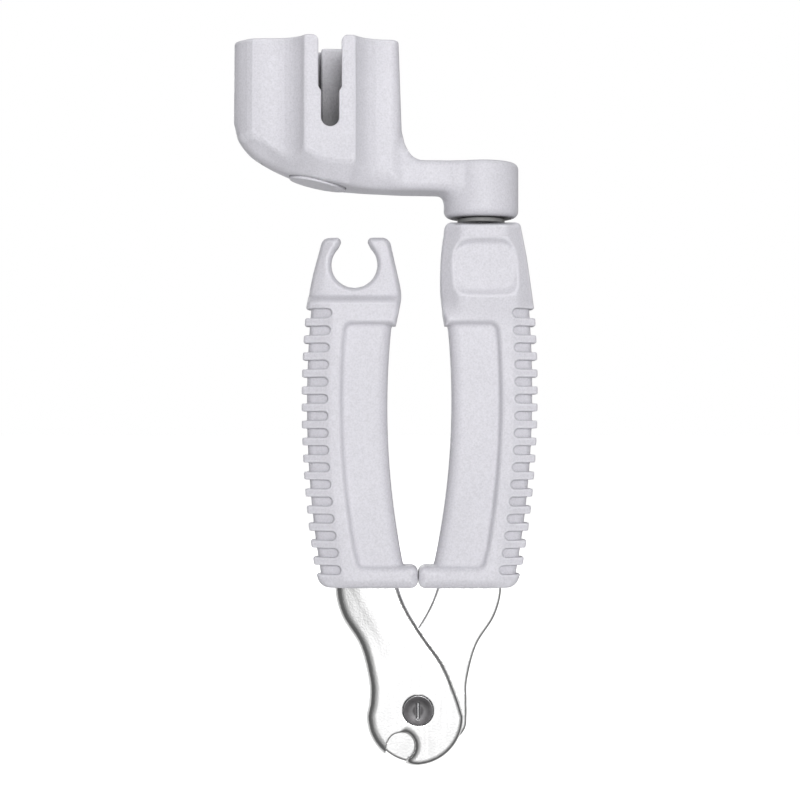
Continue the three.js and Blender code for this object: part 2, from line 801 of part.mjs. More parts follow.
const rightHandle = new THREE.Group();
rightHandle.add(part('right_grip', rightGrip(), plastic()));
rightHandle.add(part('right_blade', blade(1), chrome()));
rightHandle.add(part('pivot_screw', pivotScrew(), darkSteel()));
rightHandle.add(part('pivot_spring_washer', pivotWasher(), steel()));
rightHandle.add(part('pivot_nut', pivotNut(), steel()));
rightHandle.add(part('crank_axle', crankAxle(), steel()));
rightHandle.add(part('axle_retaining_ring', retainingRing(), steel()));
rightHandle.add(part('axle_thrust_washer', thrustWasher(), nylon()));

const crankGroup = new THREE.Group();
crankGroup.position.x = AXLE_X;
crankGroup.rotation.z = THREE.MathUtils.degToRad(CRANK_ANGLE);
crankGroup.add(part('winder_crank', crank(), plastic()));
crankGroup.add(part('cup_base_plug', basePlug(), plastic()));

const winder = new THREE.Group();
winder.add(leftHandle, rightHandle, crankGroup);

// The finished frame has its origin at the bottom centre of the box round the whole tool.
const box = new THREE.Box3().setFromObject(winder, true);
const middle = box.getCenter(new THREE.Vector3());
winder.position.set(-middle.x, -middle.y, -box.min.z);

export default winder;
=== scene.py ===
"""A string winder with a string cutter and a bridge pin puller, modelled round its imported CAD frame.

Every piece is described as a distance field in millimetres (negative inside) on its own grid, so that
moulded edges and fillets come out round, and the field's zero level becomes the mesh. Fields are drawn round
the cutter pivot, as the CAD is: x towards the right grip, y away from the user, z up. "Reach" is distance
from x = 0, and a "half depth" or "half width" is measured from the middle of the piece to its face.
"""

import json
import math

import bpy
import numpy as np
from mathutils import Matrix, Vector


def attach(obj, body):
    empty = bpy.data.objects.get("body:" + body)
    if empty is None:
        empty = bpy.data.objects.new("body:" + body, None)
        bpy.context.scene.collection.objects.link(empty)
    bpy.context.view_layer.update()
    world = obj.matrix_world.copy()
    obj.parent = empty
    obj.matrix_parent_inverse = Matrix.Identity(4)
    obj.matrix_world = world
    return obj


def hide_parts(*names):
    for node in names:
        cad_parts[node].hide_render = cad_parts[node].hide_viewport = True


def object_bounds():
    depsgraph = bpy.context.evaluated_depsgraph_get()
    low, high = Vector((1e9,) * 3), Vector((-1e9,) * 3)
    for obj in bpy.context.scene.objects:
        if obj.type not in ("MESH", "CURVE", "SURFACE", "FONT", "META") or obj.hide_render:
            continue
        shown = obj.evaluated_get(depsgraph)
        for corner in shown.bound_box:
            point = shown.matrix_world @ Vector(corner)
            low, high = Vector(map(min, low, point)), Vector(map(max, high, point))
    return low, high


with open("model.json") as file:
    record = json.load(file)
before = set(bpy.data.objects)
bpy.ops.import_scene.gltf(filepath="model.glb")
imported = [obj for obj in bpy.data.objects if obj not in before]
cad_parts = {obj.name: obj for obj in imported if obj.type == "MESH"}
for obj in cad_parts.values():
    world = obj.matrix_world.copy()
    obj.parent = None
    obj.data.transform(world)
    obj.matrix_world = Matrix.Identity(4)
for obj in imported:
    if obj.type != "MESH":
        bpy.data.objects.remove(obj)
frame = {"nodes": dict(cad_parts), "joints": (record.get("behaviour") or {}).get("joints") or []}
cad_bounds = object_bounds()

# ---------------------------------------------------------------- driving dimensions, in millimetres

MM = 0.001
JOINTS = {joint["name"]: joint for joint in frame["joints"]}
PIVOT = np.array(JOINTS["cutter_pivot"]["pos_m"]) / MM
AXLE_X = JOINTS["crank_spin"]["pos_m"][0] / MM - PIVOT[0]

FINE = 1.0  # grid cells grow by this while looks are being tried
GRIP_CELL = 0.22 * FINE
CRANK_CELL = 0.25 * FINE
BLADE_CELL = 0.16 * FINE
SMALL_CELL = 0.08 * FINE

# Blades
BLADE_THICKNESS = 2.2
BLADE_GAP = 0.05  # from y = 0 to each blade
# The round head of each blade: reach of its centre (its height is HEAD_Z), radius, points on its shoulder,
# and the angle in degrees at which the round begins.
HEAD_Z = -1.45
FRONT_HEAD = {"reach": 0.7, "radius": 10.65, "shoulder": [(11.35, HEAD_Z)], "start": -15}
REAR_HEAD = {"reach": -0.3, "radius": 10.35, "shoulder": [(10.75, HEAD_Z), (10.4, -4.3)], "start": -34}
# Widths over which the edges of each blade's outward face are rolled over: outer edge, inner edge, notch.
FRONT_ROLL = (2.4, 1.1, 1.4)
REAR_ROLL = (1.0, 1.0, 0.5)
CUT_REACH = 3.8  # centre of the string notch
CUT_Z = -7.9
CUT_RADIUS = 3.0
CUT_TILT = 14  # degrees
TANG_TOP = 74
TANG_PLAY = 0.15

# Grips
GRIP_BOTTOM = 26.9
FLANGE_TOP = 31.7
FLANGE_GAP = 0.03  # from x = 0 to each flange
PANEL_TOP = 84.3
FRAME_HALF_DEPTH = 5.2
PANEL_HALF_DEPTH = 3.7
HEAD_LOW = 85  # the handle's section changes into the puller's or the neck's between these heights
HEAD_HIGH = 90
# Bowed edges of each grip as (reach, height of the widest point, radius of the bow), and length of its rib
# slots.
LEFT = {"outer": (25.5, 67, 228), "panel": (16.4, 68, 190), "inner": (6.75, 66.5, 174), "slot": 5.85}
RIGHT = {"outer": (25.97, 70, 224), "panel": (17.45, 68, 190), "inner": (7.16, 67.5, 165), "slot": 5.1}
RIGHT_PLAY = 0.2  # the right grip stands this much further out
RIB_SLOTS = 16
RIB_PITCH = 3.73
FIRST_RIB_SLOT = 30.9
RIB_SLOT_HALF = 1.0  # half its height
RIB_SLOT_DEPTH = 1.12  # into the outer edge
RIB_FACE_DEPTH = 1.1  # into each face
RIB_FACE_SLOPE = 0.42  # of the faces where they fall away over the ribs

# Puller, at the top of the left grip
PULLER_TOP = 103.65
PULLER_HALF_DEPTH = 2.8
PULLER_REACH = 14  # centre of the notch
PULLER_Z = 97.7
PULLER_RADIUS = 5.05
PULLER_MOUTH = 5.9
LIP_RADIUS = 0.95
FOLD_LOW = 88.9  # the thick handle steps in to the thin jaws between these heights
FOLD_HIGH = 91.1
# Points (reach, height) on the inner and outer sides of the puller.
PULLER_SIDES = (
    [(4.9, PANEL_TOP), (4.2, 87.6), (3.65, 90.6), (3.9, 93), (6.1, 103)],
    [(24.4, 89), (24.0, 92), (23.3, 95.5), (21.4, 102)],
)

# Neck, at the top of the right grip
NECK_TOP = 106.65
NECK_HALF_DEPTH = 6.8
HOLLOW_REACH = 14.4  # centre of the thumb hollow
HOLLOW_Z = 96.6
HOLLOW_HALF_HEIGHT = 7.2
HOLLOW_DEPTH = 1.6
SEAT_RADIUS = 3.1  # of the axle's seat in the neck
SEAT_BOTTOM = 87.8
# Points on the inner and outer sides of the neck.
NECK_SIDES = (
    [(5.65, PANEL_TOP), (5.15, 87.5), (4.7, 92), (4.75, 98), (5.1, 102), (5.45, 104.3)],
    [(25.2, 88), (24.6, 92), (23.6, 99), (22.6, 105)],
)

# Crank
CRANK_ANGLE = 4  # degrees about the axle
HUB_RADIUS = 8.2
HUB_BOTTOM = 107.85
BORE_RADIUS = 3.2
BORE_TOP = 117.3
RING_ROOM_RADIUS = 4  # of the room in the hub for the retaining ring
RING_ROOM_Z = 114.85
RING_ROOM_HALF = 0.8
ARM_TOP = 119.9
ARM_BOTTOM = 113.2
CUP_OUTER = 54  # distances from the axle along the crank
CUP_INNER = 18.45
CUP_WALL = 2
CUP_FLOOR = 121
BAND_CENTRE = 33.5  # of the raised band down the cup's front and back
BAND_HALF_WIDTH = 5
BAND_HALF_DEPTH = 10.4
RIM = 145.8
WALL_LEAN = 0.9  # how far the wall beside the arm leans out
WEB_WIDTH = 4.05
WEB_HEIGHT = 7.4
KEEL_SLOPE = math.tan(math.radians(12))
KEEL_START = 26.7
BASE_SLOPE = 0.68  # of the sloping sides of the base
CREASE_HEIGHT = 4.6  # above the base, on the raised band
PLUG_CENTRE = 36
PLUG_RADIUS = 6.2
PLUG_PLAY = 0.04
PLUG_PROUD = 0.35  # how far the plug stands out of the base
PLUG_BACK = 1.3  # how far it goes into the base
PLUG_POCKET = 1.5

# Screw, wave washer and nut of the pivot, from the front to the back, and the collar on the axle
SCREW_RADIUS = 3.3
SCREW_SEAT_DEPTH = 1.1
SHANK_RADIUS = 2.2
THREAD_RADIUS = 1.7
THREAD_PITCH = 0.5
THREAD_DEPTH = 0.12
WASHER_RADIUS = 3.9
WASHER_ROOM = 0.8
NUT_CORNER = 3.8
NUT_THICKNESS = 2.2
SCREW_FACE = -BLADE_GAP - BLADE_THICKNESS - 0.12
BLADES_BACK = BLADE_GAP + BLADE_THICKNESS
WASHER_FRONT = BLADES_BACK + 0.15
NUT_FRONT = WASHER_FRONT + WASHER_ROOM
NUT_BACK = NUT_FRONT + NUT_THICKNESS
SCREW_END = NUT_BACK + 0.5
COLLAR_RADIUS = 5.2
COLLAR_HOLE = 3.2

# Studio and materials
AMBIENT = 0.2  # brightness of the studio: level, towards the camera's side, and overhead
FRONT_GAIN = 0.1
TOP_GAIN = 0.15
KEY_WATTS = 10.5
OVERHEAD_WATTS = 1.5
BACK_WATTS = 4
FLOOR_GLOW = 0.75  # brings the pale floor up to the white background
# What polished steel mirrors, as (position, grey). 0 is straight behind the tool, and 1 straight in front.
MIRRORED = [(0.2, 0.8), (0.42, 0.6), (0.56, 0.1), (0.82, 0.12), (0.97, 0.55), (0.993, 1.05)]
PLASTIC_COLOUR = (0.6, 0.592, 0.635)
PLASTIC_SHADE = (0.57, 0.563, 0.605)
# painted highlight colour for the sharp edges of the plastic
PLASTIC_HIGHLIGHT = (0.75, 0.745, 0.79)
DARK_STEEL = (0.085, 0.082, 0.085)
PLAIN_STEEL = (0.5, 0.5, 0.51)
# painted highlight colour for steel edges and hollows, such as the glint in the screw's slot
STEEL_GLINT = (0.42, 0.42, 0.43)


# ---------------------------------------------------------------- distance fields


def grid(low, high, cell):
    """Coordinates of a grid's points as three arrays that broadcast against each other."""
    axes = [np.arange(a - 2 * cell, b + 2 * cell, cell, dtype=np.float32) for a, b in zip(low, high)]
    return axes[0][:, None, None], axes[1][None, :, None], axes[2][None, None, :]


def polygon(points, u, v):
    """Signed distance to a closed outline."""
    points = np.array(points, dtype=np.float32)
    u, v = np.broadcast_arrays(u, v)
    nearest = np.full(u.shape, 1e9, np.float32)
    inside = np.zeros(u.shape, bool)
    for (ax, ay), (bx, by) in zip(points, np.roll(points, -1, axis=0)):
        ex, ey = bx - ax, by - ay
        du, dv = u - ax, v - ay
        along = np.clip((du * ex + dv * ey) / (ex * ex + ey * ey + 1e-12), 0, 1)
        nearest = np.minimum(nearest, (du - along * ex) ** 2 + (dv - along * ey) ** 2)
        if ay != by:
            crosses = ((ay > v) != (by > v)) & (du < ex * dv / ey)
            inside ^= crosses
    return np.where(inside, -1, 1) * np.sqrt(nearest)


def rounded_meet(a, b, radius):
    """Where both a and b are inside, with the edge between them rounded."""
    corner = np.hypot(np.maximum(a + radius, 0), np.maximum(b + radius, 0))
    return np.minimum(np.maximum(a, b), -radius) + corner


def join(a, b, fillet):
    """Both solids, with a smooth fillet where they meet. The fillet may vary from place to place."""
    fillet = np.maximum(fillet, 1e-4)
    share = np.clip(0.5 + 0.5 * (b - a) / fillet, 0, 1)
    return b + (a - b) * share - fillet * share * (1 - share)


def cut(a, b, rounding):
    """Solid a less solid b, with the new edges rounded."""
    return -join(-a, b, rounding)


def ball_end(u, v, end, half):
    """Distance to a slot that runs on for ever from u = end, with a round end."""
    return np.where(u > end, np.abs(v) - half, np.hypot(end - u, v) - half)


def ease(low, high, value):
    """0 below low, 1 above high, and smooth between."""
    share = np.clip((value - low) / (high - low), 0, 1)
    return share * share * (3 - 2 * share)


def soft_ramp(value, softness):
    """0 for negative values, and the value itself for positive ones, with a rounded change between them."""
    return 0.5 * (value + np.sqrt(value**2 + softness**2))


# ---------------------------------------------------------------- outlines


def arc(x, y, radius, start, end, steps=16):
    """Points on a circle, between two angles in degrees."""
    angles = np.radians(np.linspace(start, end, steps + 1))
    return [(x + radius * math.cos(a), y + radius * math.sin(a)) for a in angles]


def bowed(edge, z):
    """Reach of a bowed edge at height z."""
    reach, middle, radius = edge
    return reach - radius + np.sqrt(radius**2 - (z - middle) ** 2)


def bow(edge, start, end, steps=24):
    """Points on a bowed edge between two heights."""
    return [(float(bowed(edge, z)), z) for z in np.linspace(start, end, steps + 1)]


def mirrored_outline(half):
    """An outline seen from above, from its front half, whose first point is on the middle line."""
    return [*half, *[(along, -depth) for along, depth in reversed(half)][:-1]]


def curve(points, steps=8):
    """A smooth curve through points (Catmull-Rom), each span cut into steps."""
    points = [np.array(p, float) for p in points]
    padded = [2 * points[0] - points[1], *points, 2 * points[-1] - points[-2]]
    out = []
    for a, b, c, d in zip(padded, padded[1:], padded[2:], padded[3:]):
        for t in np.linspace(0, 1, steps, endpoint=False):
            square, cube = 2 * a - 5 * b + 4 * c - d, 3 * b - a - 3 * c + d
            out.append(tuple((2 * b + (c - a) * t + square * t**2 + cube * t**3) / 2))
    return [*out, tuple(points[-1])]


# ---------------------------------------------------------------- meshes


def crossed_edges(field, axis):
    """Where the zero level crosses grid edges along an axis, and the four cells round each crossed edge."""
    before = np.moveaxis(field, axis, 0)[:-1]
    after = np.moveaxis(field, axis, 0)[1:]
    found = np.argwhere((before < 0) != (after < 0))
    start, end = before[tuple(found.T)], after[tuple(found.T)]
    index = np.empty_like(found)
    index[:, [axis] + [k for k in range(3) if k != axis]] = found
    place = index.astype(np.float64)
    place[:, axis] += start / (start - end)
    cells = []
    for back_side, back_up in ((0, 0), (1, 0), (1, 1), (0, 1)):
        cell = index.copy()
        cell[:, (axis + 1) % 3] -= back_side
        cell[:, (axis + 2) % 3] -= back_up
        cells.append(np.ravel_multi_index(cell.T, field.shape))
    ring = np.stack(cells, axis=1)
    ring[start > 0] = ring[start > 0][:, ::-1]
    return place, ring


def sharpness(field, places, cell):
    """How sharply the surface bends outwards at places given in grid steps, in 1/mm."""
    reach = 2
    middle = np.clip(np.rint(places).astype(int), reach, np.array(field.shape) - 1 - reach)
    bend = np.zeros(len(places))
    for axis in range(3):
        step = np.zeros(3, int)
        step[axis] = reach
        ahead, behind = field[tuple((middle + step).T)], field[tuple((middle - step).T)]
        bend += (ahead + behind - 2 * field[tuple(middle.T)]) / (reach * cell) ** 2
    return bend


def make_piece(name, field, axes, place, body, material, nodes):
    """The zero level of a field as a smooth-shaded object that stands for CAD nodes. It is a surface net: one
    vertex in each grid cell that the level crosses, one quad across each crossed grid edge. `place` moves the
    points from the field's frame to the tool's."""
    field = np.ascontiguousarray(field, dtype=np.float32)
    places, rings = zip(*[crossed_edges(field, axis) for axis in range(3)])
    rings = np.concatenate(rings)
    places = np.repeat(np.concatenate(places), 4, axis=0)
    faces = np.unique(rings.ravel(), return_inverse=True)[1]
    count = np.bincount(faces)
    steps = np.stack([np.bincount(faces, weights=places[:, k]) / count for k in range(3)], axis=1)
    corner = np.array([axis.ravel()[0] for axis in axes])
    cell = axes[0].ravel()[1] - corner[0]
    points = (place(corner + steps * cell) + PIVOT) * MM

    mesh = bpy.data.meshes.new(name)
    mesh.from_pydata(points.tolist(), [], faces.reshape(-1, 4).tolist())
    mesh.polygons.foreach_set("use_smooth", np.ones(len(mesh.polygons), bool))
    bend = mesh.attributes.new("sharpness", "FLOAT", "POINT")
    bend.data.foreach_set("value", sharpness(field, steps, cell).astype(np.float32))
    mesh.materials.append(material)
    mesh.update()
    piece = bpy.data.objects.new(name, mesh)
    bpy.context.scene.collection.objects.link(piece)
    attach(piece, body)
    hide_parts(*nodes)


def stay(points):
    """For pieces that are drawn where they belong."""
    return points


# ---------------------------------------------------------------- grips


def frame_outline(edges, head, flange_reach):
    """The proud part of a grip: flange, outer band, and whatever is above the panel."""
    corner, panel_corner, tip_corner = 1.6, 1.4, 2.8
    panel_low = float(bowed(edges["panel"], FLANGE_TOP))
    panel_high = float(bowed(edges["panel"], PANEL_TOP))
    tip = float(bowed(edges["outer"], GRIP_BOTTOM))
    return [
        *arc(flange_reach + corner, GRIP_BOTTOM + corner, corner, 270, 180),
        *arc(flange_reach + corner, FLANGE_TOP - corner, corner, 180, 90),
        *arc(panel_low - panel_corner, FLANGE_TOP + panel_corner, panel_corner, 270, 350),
        *bow(edges["panel"], FLANGE_TOP + 4, PANEL_TOP - 4),
        *arc(panel_high - panel_corner, PANEL_TOP - panel_corner, panel_corner, 10, 90),
        *head,
        *bow(edges["outer"], 87, GRIP_BOTTOM + 4),
        *arc(tip + 0.2 - tip_corner, GRIP_BOTTOM + tip_corner, tip_corner, -15, -90),
    ]


def panel_outline(edges):
    """The recessed panel. It ends under the flange, the outer band and the head."""
    low, high = FLANGE_TOP - 3, PANEL_TOP + 3
    return [*bow(edges["inner"], low, high), (19, high), (19, 60), (16, low)]


def rib_slots(edges, reach, y, z, half_depth):
    """Slots between the ribs, cut down to a smaller core so that they run round the outer edge."""
    core_rounding = 1.2
    slots = np.float32(1e9)
    for i in range(RIB_SLOTS):
        height = FIRST_RIB_SLOT + i * RIB_PITCH
        end = float(bowed(edges["outer"], height)) - edges["slot"] + RIB_SLOT_HALF
        slots = np.minimum(slots, ball_end(reach, z - height, end, RIB_SLOT_HALF))
    edge = reach - (bowed(edges["outer"], z) - RIB_SLOT_DEPTH)
    core = rounded_meet(edge, np.abs(y) - (half_depth - RIB_FACE_DEPTH), core_rounding)
    return np.maximum(slots, -core)


def tang_pocket(reach, y, z, side):
    """The slot in the flange that the blade goes into."""
    outline = [(4, GRIP_BOTTOM - 2), (6.1, 34), (9.3, 38), (13.1, 72), (14.6, 74.3), (18.4, 74.3)]
    outline += [(19.9, 72), (17.7, 38), (18.2, 34), (18.9, 28.5), (18.9, GRIP_BOTTOM - 2)]
    middle = side * (BLADE_GAP + BLADE_THICKNESS / 2)
    return np.maximum(polygon(outline, reach, z), np.abs(y - middle) - BLADE_THICKNESS / 2 - TANG_PLAY)


def handle(edges, reach, y, z, plan, half_depth):
    """Frame and recessed panel, with the slots between the ribs. The faces slope away over the ribs, and the
    frame's walls slope down to the panel."""
    wall_slope, sloping_height = 0.5, 1.3
    panel_edge, frame_to_panel, slot_edge = 2.6, 0.6, 0.3
    past_slots = reach - bowed(edges["outer"], z) + edges["slot"] + 0.4
    over_ribs = RIB_FACE_SLOPE * soft_ramp(past_slots, 0.6) * ease(HEAD_HIGH, HEAD_LOW, z)
    half_depth = half_depth - over_ribs
    draft = wall_slope * np.clip(np.abs(y) - PANEL_HALF_DEPTH, 0, sloping_height)
    frame_edge = 0.6 + 0.9 * ease(32.5, 27.5, z)
    proud = rounded_meet(plan + draft, np.abs(y) - half_depth, frame_edge)
    panel = polygon(panel_outline(edges), reach, z)
    panel = rounded_meet(panel, np.abs(y) - PANEL_HALF_DEPTH, panel_edge)
    slots = rib_slots(edges, reach, y, z, half_depth)
    return cut(join(proud, panel, frame_to_panel), slots, slot_edge)


def side_bevel(sides, reach, z, slope, inner_width, outer_width):
    """How far the faces above the panel fall away towards their inner and outer sides, over these widths."""
    softness = 0.7
    (inner_reach, inner_z), (outer_reach, outer_z) = [np.array(side).T for side in sides]
    inner = np.interp(z, inner_z, inner_reach) + inner_width - reach
    outer = reach - np.interp(z, outer_z, outer_reach) + outer_width
    return slope * soft_ramp(np.maximum(inner, outer), softness) * ease(HEAD_LOW, HEAD_HIGH, z)


def puller_head():
    """The puller's two jaws and the notch between them, from the panel's top corner to the outer edge."""
    lip = PULLER_MOUTH / 2 + LIP_RADIUS
    lip_z = PULLER_TOP - LIP_RADIUS
    notch_start, lip_end = 45, -40  # degrees
    corner = 2
    return [
        *curve(PULLER_SIDES[0][:4]),
        *arc(7.9, PULLER_TOP - corner, corner, 165, 90),
        *arc(PULLER_REACH - lip, lip_z, LIP_RADIUS, 90, lip_end),
        *arc(PULLER_REACH, PULLER_Z, PULLER_RADIUS, 180 - notch_start, 360 + notch_start, 60),
        *arc(PULLER_REACH + lip, lip_z, LIP_RADIUS, 180 - lip_end, 90),
        *arc(19.6, PULLER_TOP - corner, corner, 90, 18),
        *curve(PULLER_SIDES[1][2::-1]),
    ]


def left_grip(material):
    """The grip with the puller. Its faces step in at the fold, and its notch has a broad bevel."""
    x, y, z = axes = grid((-26, -5.5, GRIP_BOTTOM), (0.2, 5.5, PULLER_TOP), GRIP_CELL)
    plan = polygon(frame_outline(LEFT, puller_head(), FLANGE_GAP), -x, z)
    half_depth = FRAME_HALF_DEPTH - (FRAME_HALF_DEPTH - PULLER_HALF_DEPTH) * ease(FOLD_LOW, FOLD_HIGH, z)
    notch_slope, notch_width = 1.7, 0.8
    notch_bevel = notch_slope * soft_ramp(plan + notch_width, 0.3)
    half_depth = half_depth - notch_bevel * ease(HEAD_LOW, HEAD_HIGH, z)
    inner_width = 1.2 + 1.6 * ease(92, 89, z)
    outer_width = 2.9
    half_depth = half_depth - side_bevel(PULLER_SIDES, -x, z, 0.5, inner_width, outer_width)
    field = handle(LEFT, -x, y, z, plan, half_depth)
    field = cut(field, tang_pocket(-x, y, z, -1), 0)
    make_piece("grip_left", field, axes, stay, "left_handle", material, ["left_grip"])


def neck_head():
    """From the panel's top corner, up the inner side of the neck and down to the outer edge."""
    return [
        *curve(NECK_SIDES[0]),
        *arc(7.1, NECK_TOP - 1.6, 1.6, 165, 90),
        *arc(21.1, NECK_TOP - 1.2, 1.2, 90, 10),
        *curve(NECK_SIDES[1][2::-1]),
    ]


def thumb_hollow(reach, z):
    """Depth of the rounded hollow across each face of the neck. It narrows upwards, and its lower end is
    gentler than its upper one."""
    up = (z - HOLLOW_Z) / HOLLOW_HALF_HEIGHT
    half_width = 9.8 - 1.8 * ease(0.3, 0.9, up)
    across = np.abs(reach - HOLLOW_REACH) / half_width
    inside = HOLLOW_HALF_HEIGHT * (1 - (across**4 + np.abs(up) ** 4) ** 0.25)
    bank = 2.9 - 0.8 * ease(-0.5, 0.5, up)
    return HOLLOW_DEPTH * ease(0, bank, inside)


def right_grip(material):
    """The grip with the thick neck, which has a hollow in each face and the axle's seat on top."""
    x, y, z = axes = grid((0, -7, GRIP_BOTTOM), (26.6, 7, NECK_TOP), GRIP_CELL)
    reach = x - RIGHT_PLAY
    plan = polygon(frame_outline(RIGHT, neck_head(), FLANGE_GAP - RIGHT_PLAY), reach, z)
    half_depth = FRAME_HALF_DEPTH + (NECK_HALF_DEPTH - FRAME_HALF_DEPTH) * ease(84, 92.5, z)
    bevel_slope, bevel_width = 0.95, 3.7
    half_depth = half_depth - side_bevel(NECK_SIDES, reach, z, bevel_slope, bevel_width, bevel_width)
    field = handle(RIGHT, reach, y, z, plan, half_depth)
    above_face = 0.3
    field = cut(field, NECK_HALF_DEPTH + above_face - thumb_hollow(reach, z) - np.abs(y), 0.4)
    field = cut(field, tang_pocket(x, y, z, 1), 0)
    axle_seat = np.maximum(np.hypot(x - AXLE_X, y) - SEAT_RADIUS, SEAT_BOTTOM - z)
    field = cut(field, axle_seat, 0)
    make_piece("grip_right", field, axes, stay, "right_handle", material, ["right_grip"])


# ---------------------------------------------------------------- crank
# Drawn with the axle at x = 0. "Along" is distance from the axle towards the cup.


def cup_plan():
    """The cup from above: a pointed outer end, a raised band front and back, and a square end by the arm."""
    left = BAND_CENTRE + BAND_HALF_WIDTH
    right = BAND_CENTRE - BAND_HALF_WIDTH
    tip = curve([(CUP_OUTER, 0), (CUP_OUTER - 0.3, 1.3), (CUP_OUTER - 1.3, 2.9), (CUP_OUTER - 2.8, 4.5)])
    wing = curve([(CUP_OUTER - 4, 5.3), (CUP_OUTER - 6.2, 5.6), (left + 6.3, 5.85), (left + 4.6, 6.2)])
    flute_out = curve([(left + 3.6, 6.7), (left + 2.5, 7.5), (left + 1.4, 8.7), (left + 0.7, 9.8)])
    flute_in = curve([(right - 0.6, 9.8), (right - 1.7, 8.5), (right - 3.0, 7.3), (right - 4.9, 6.4)])
    half = [
        *tip,
        *wing,
        *flute_out,
        *arc(left - 0.1, BAND_HALF_DEPTH - 0.8, 0.8, 20, 90, 6),
        *arc(right + 0.1, BAND_HALF_DEPTH - 0.8, 0.8, 90, 160, 6),
        *flute_in,
        (right - 6.5, 6.1),
        *arc(CUP_INNER + 2, 4.0, 2.0, 84, 180, 12),
    ]
    return mirrored_outline(half)


def nose_side():
    """The cup from the side: a flat end, then a rounded nose that runs out on the base."""
    nose = [(54.3, 127), (52.9, 123.8), (50.8, 121.3), (48, 119.35), (42.5, 116.4)]
    return [(0, 160), (56, 160), (56, 127.5), *curve(nose), (36, 114.6), (29.5, 111), (0, 111)]


def cup_cavity(along, y, z):
    """A flat pocket for the tuning button, with a groove in the back wall and room behind the slot."""
    pocket = [
        (CUP_OUTER - CUP_WALL, 0),
        (CUP_OUTER - CUP_WALL - 0.6, 1.6),
        (CUP_OUTER - CUP_WALL - 2.6, 2.9),
        (BAND_CENTRE + 12, 3.9),
        (BAND_CENTRE + 7.4, 4.5),
        (BAND_CENTRE - 7.4, 4.4),
        (CUP_INNER + CUP_WALL + 0.8, 4),
        (CUP_INNER + CUP_WALL, 3.2),
    ]
    groove_from_band, groove_half, throat_half = 3.2, 1.7, 3.4
    corner, fillet, floor_corner = 0.6, 0.5, 1.2
    behind_band = BAND_HALF_DEPTH - CUP_WALL
    field = polygon(mirrored_outline(pocket), along, y)
    groove_sides = np.abs(along - BAND_CENTRE - groove_from_band) - groove_half
    groove = rounded_meet(groove_sides, y - behind_band, corner)
    throat = rounded_meet(np.abs(along - BAND_CENTRE) - throat_half, -y - behind_band, corner)
    field = join(field, np.maximum(groove, -y), fillet)
    field = join(field, np.maximum(throat, y), fillet)
    field = rounded_meet(field, CUP_FLOOR - z, floor_corner)
    return rounded_meet(field, polygon(nose_side(), along, z) + CUP_WALL, floor_corner)


def cup_slot(along, y, z):
    """The slot in the front wall: wide above, narrow below, with a round end and a flared mouth."""
    wide, narrow, step, bottom = 2.5, 1.9, 134.2, 126.2
    flare, flare_height = 0.9, 1.6
    half = narrow + (wide - narrow) * ease(step - 0.6, step + 0.6, z)
    above = np.abs(along - BAND_CENTRE) - half
    end = np.hypot(along - BAND_CENTRE, z - (bottom + narrow)) - narrow
    mouth = flare * ease(RIM - flare_height, RIM + 0.3, z) ** 2
    outline = np.where(z > bottom + narrow, above - mouth, end)
    return np.maximum(outline, y + 3)


def keel(along):
    """Height of the base, which is level under the arm and curves up to a slope under the cup."""
    return ARM_BOTTOM + soft_ramp(along - KEEL_START, 5) * KEEL_SLOPE


def base_plan():
    """The smooth outline that the sloping sides of the base rise to, at the height of the crease."""
    outer = [(53.6, 0), (52.5, 2.4), (50, 4.0), (46, 5.6), (41.5, 8.4), (37.5, 10.2), (33.5, 10.6)]
    inner = [(29, 10.2), (26, 8.6), (22, 7.9), (18, 8.7), (12, 10)]
    return mirrored_outline(curve([*outer, *inner]))


def lean_share(z):
    """The cup's walls lean out on their way down: 0 at the rim, 1 at the level of the arm."""
    return np.clip((RIM - z) / (RIM - ARM_TOP), 0, 1)


def cup(along, y, z):
    """Leaning walls, sloping sides below the crease, base and nose, less the cavity and the slot."""
    outer_lean = 0.2
    rim_edge, base_edge, crease_edge, nose_edge = 0.6, 0.8, 0.6, 1.2
    lean = outer_lean * ease(BAND_CENTRE, BAND_CENTRE + 5, along) + WALL_LEAN * ease(30, 18, along)
    lean = lean * lean_share(z)
    field = rounded_meet(polygon(cup_plan(), along, y) - lean, z - RIM, rim_edge)
    fall = BASE_SLOPE * (keel(along) + CREASE_HEIGHT - z)
    sides = (polygon(base_plan(), along, y) + fall) / math.hypot(1, BASE_SLOPE)
    field = rounded_meet(field, rounded_meet(sides, keel(along) - z, base_edge), crease_edge)
    field = rounded_meet(field, polygon(nose_side(), along, z), nose_edge)
    cavity_edge, slot_edge = 0.5, 0.35
    field = cut(field, cup_cavity(along, y, z), cavity_edge)
    return cut(field, cup_slot(along, y, z), slot_edge)


def arm_and_hub(along, y, z):
    """The arm widens from the cup to the hub and runs into its sides. They share one flat top."""
    half_width = 4.4 + 1.9 * ease(29, 16, along)
    middle, half_length = 13.5, 14.5
    end_edge, arm_edge, hub_edge, top_edge = 0.5, 1.8, 1.6, 1.4
    fillet = 2.8 * ease(2, 7, along)
    sides = rounded_meet(np.abs(y) - half_width, np.abs(along - middle) - half_length, end_edge)
    arm = rounded_meet(sides, keel(along) - z, arm_edge)
    hub = rounded_meet(np.hypot(along, y) - HUB_RADIUS, HUB_BOTTOM - z, hub_edge)
    return rounded_meet(join(arm, hub, fillet), z - ARM_TOP, top_edge)


def hub_bore(along, y, z):
    """The blind bore for the axle, with a wider room for its retaining ring."""
    radius = np.hypot(along, y)
    bore = np.maximum(radius - BORE_RADIUS, z - BORE_TOP)
    ring_room = np.maximum(radius - RING_ROOM_RADIUS, np.abs(z - RING_ROOM_Z) - RING_ROOM_HALF)
    return np.minimum(bore, ring_room)


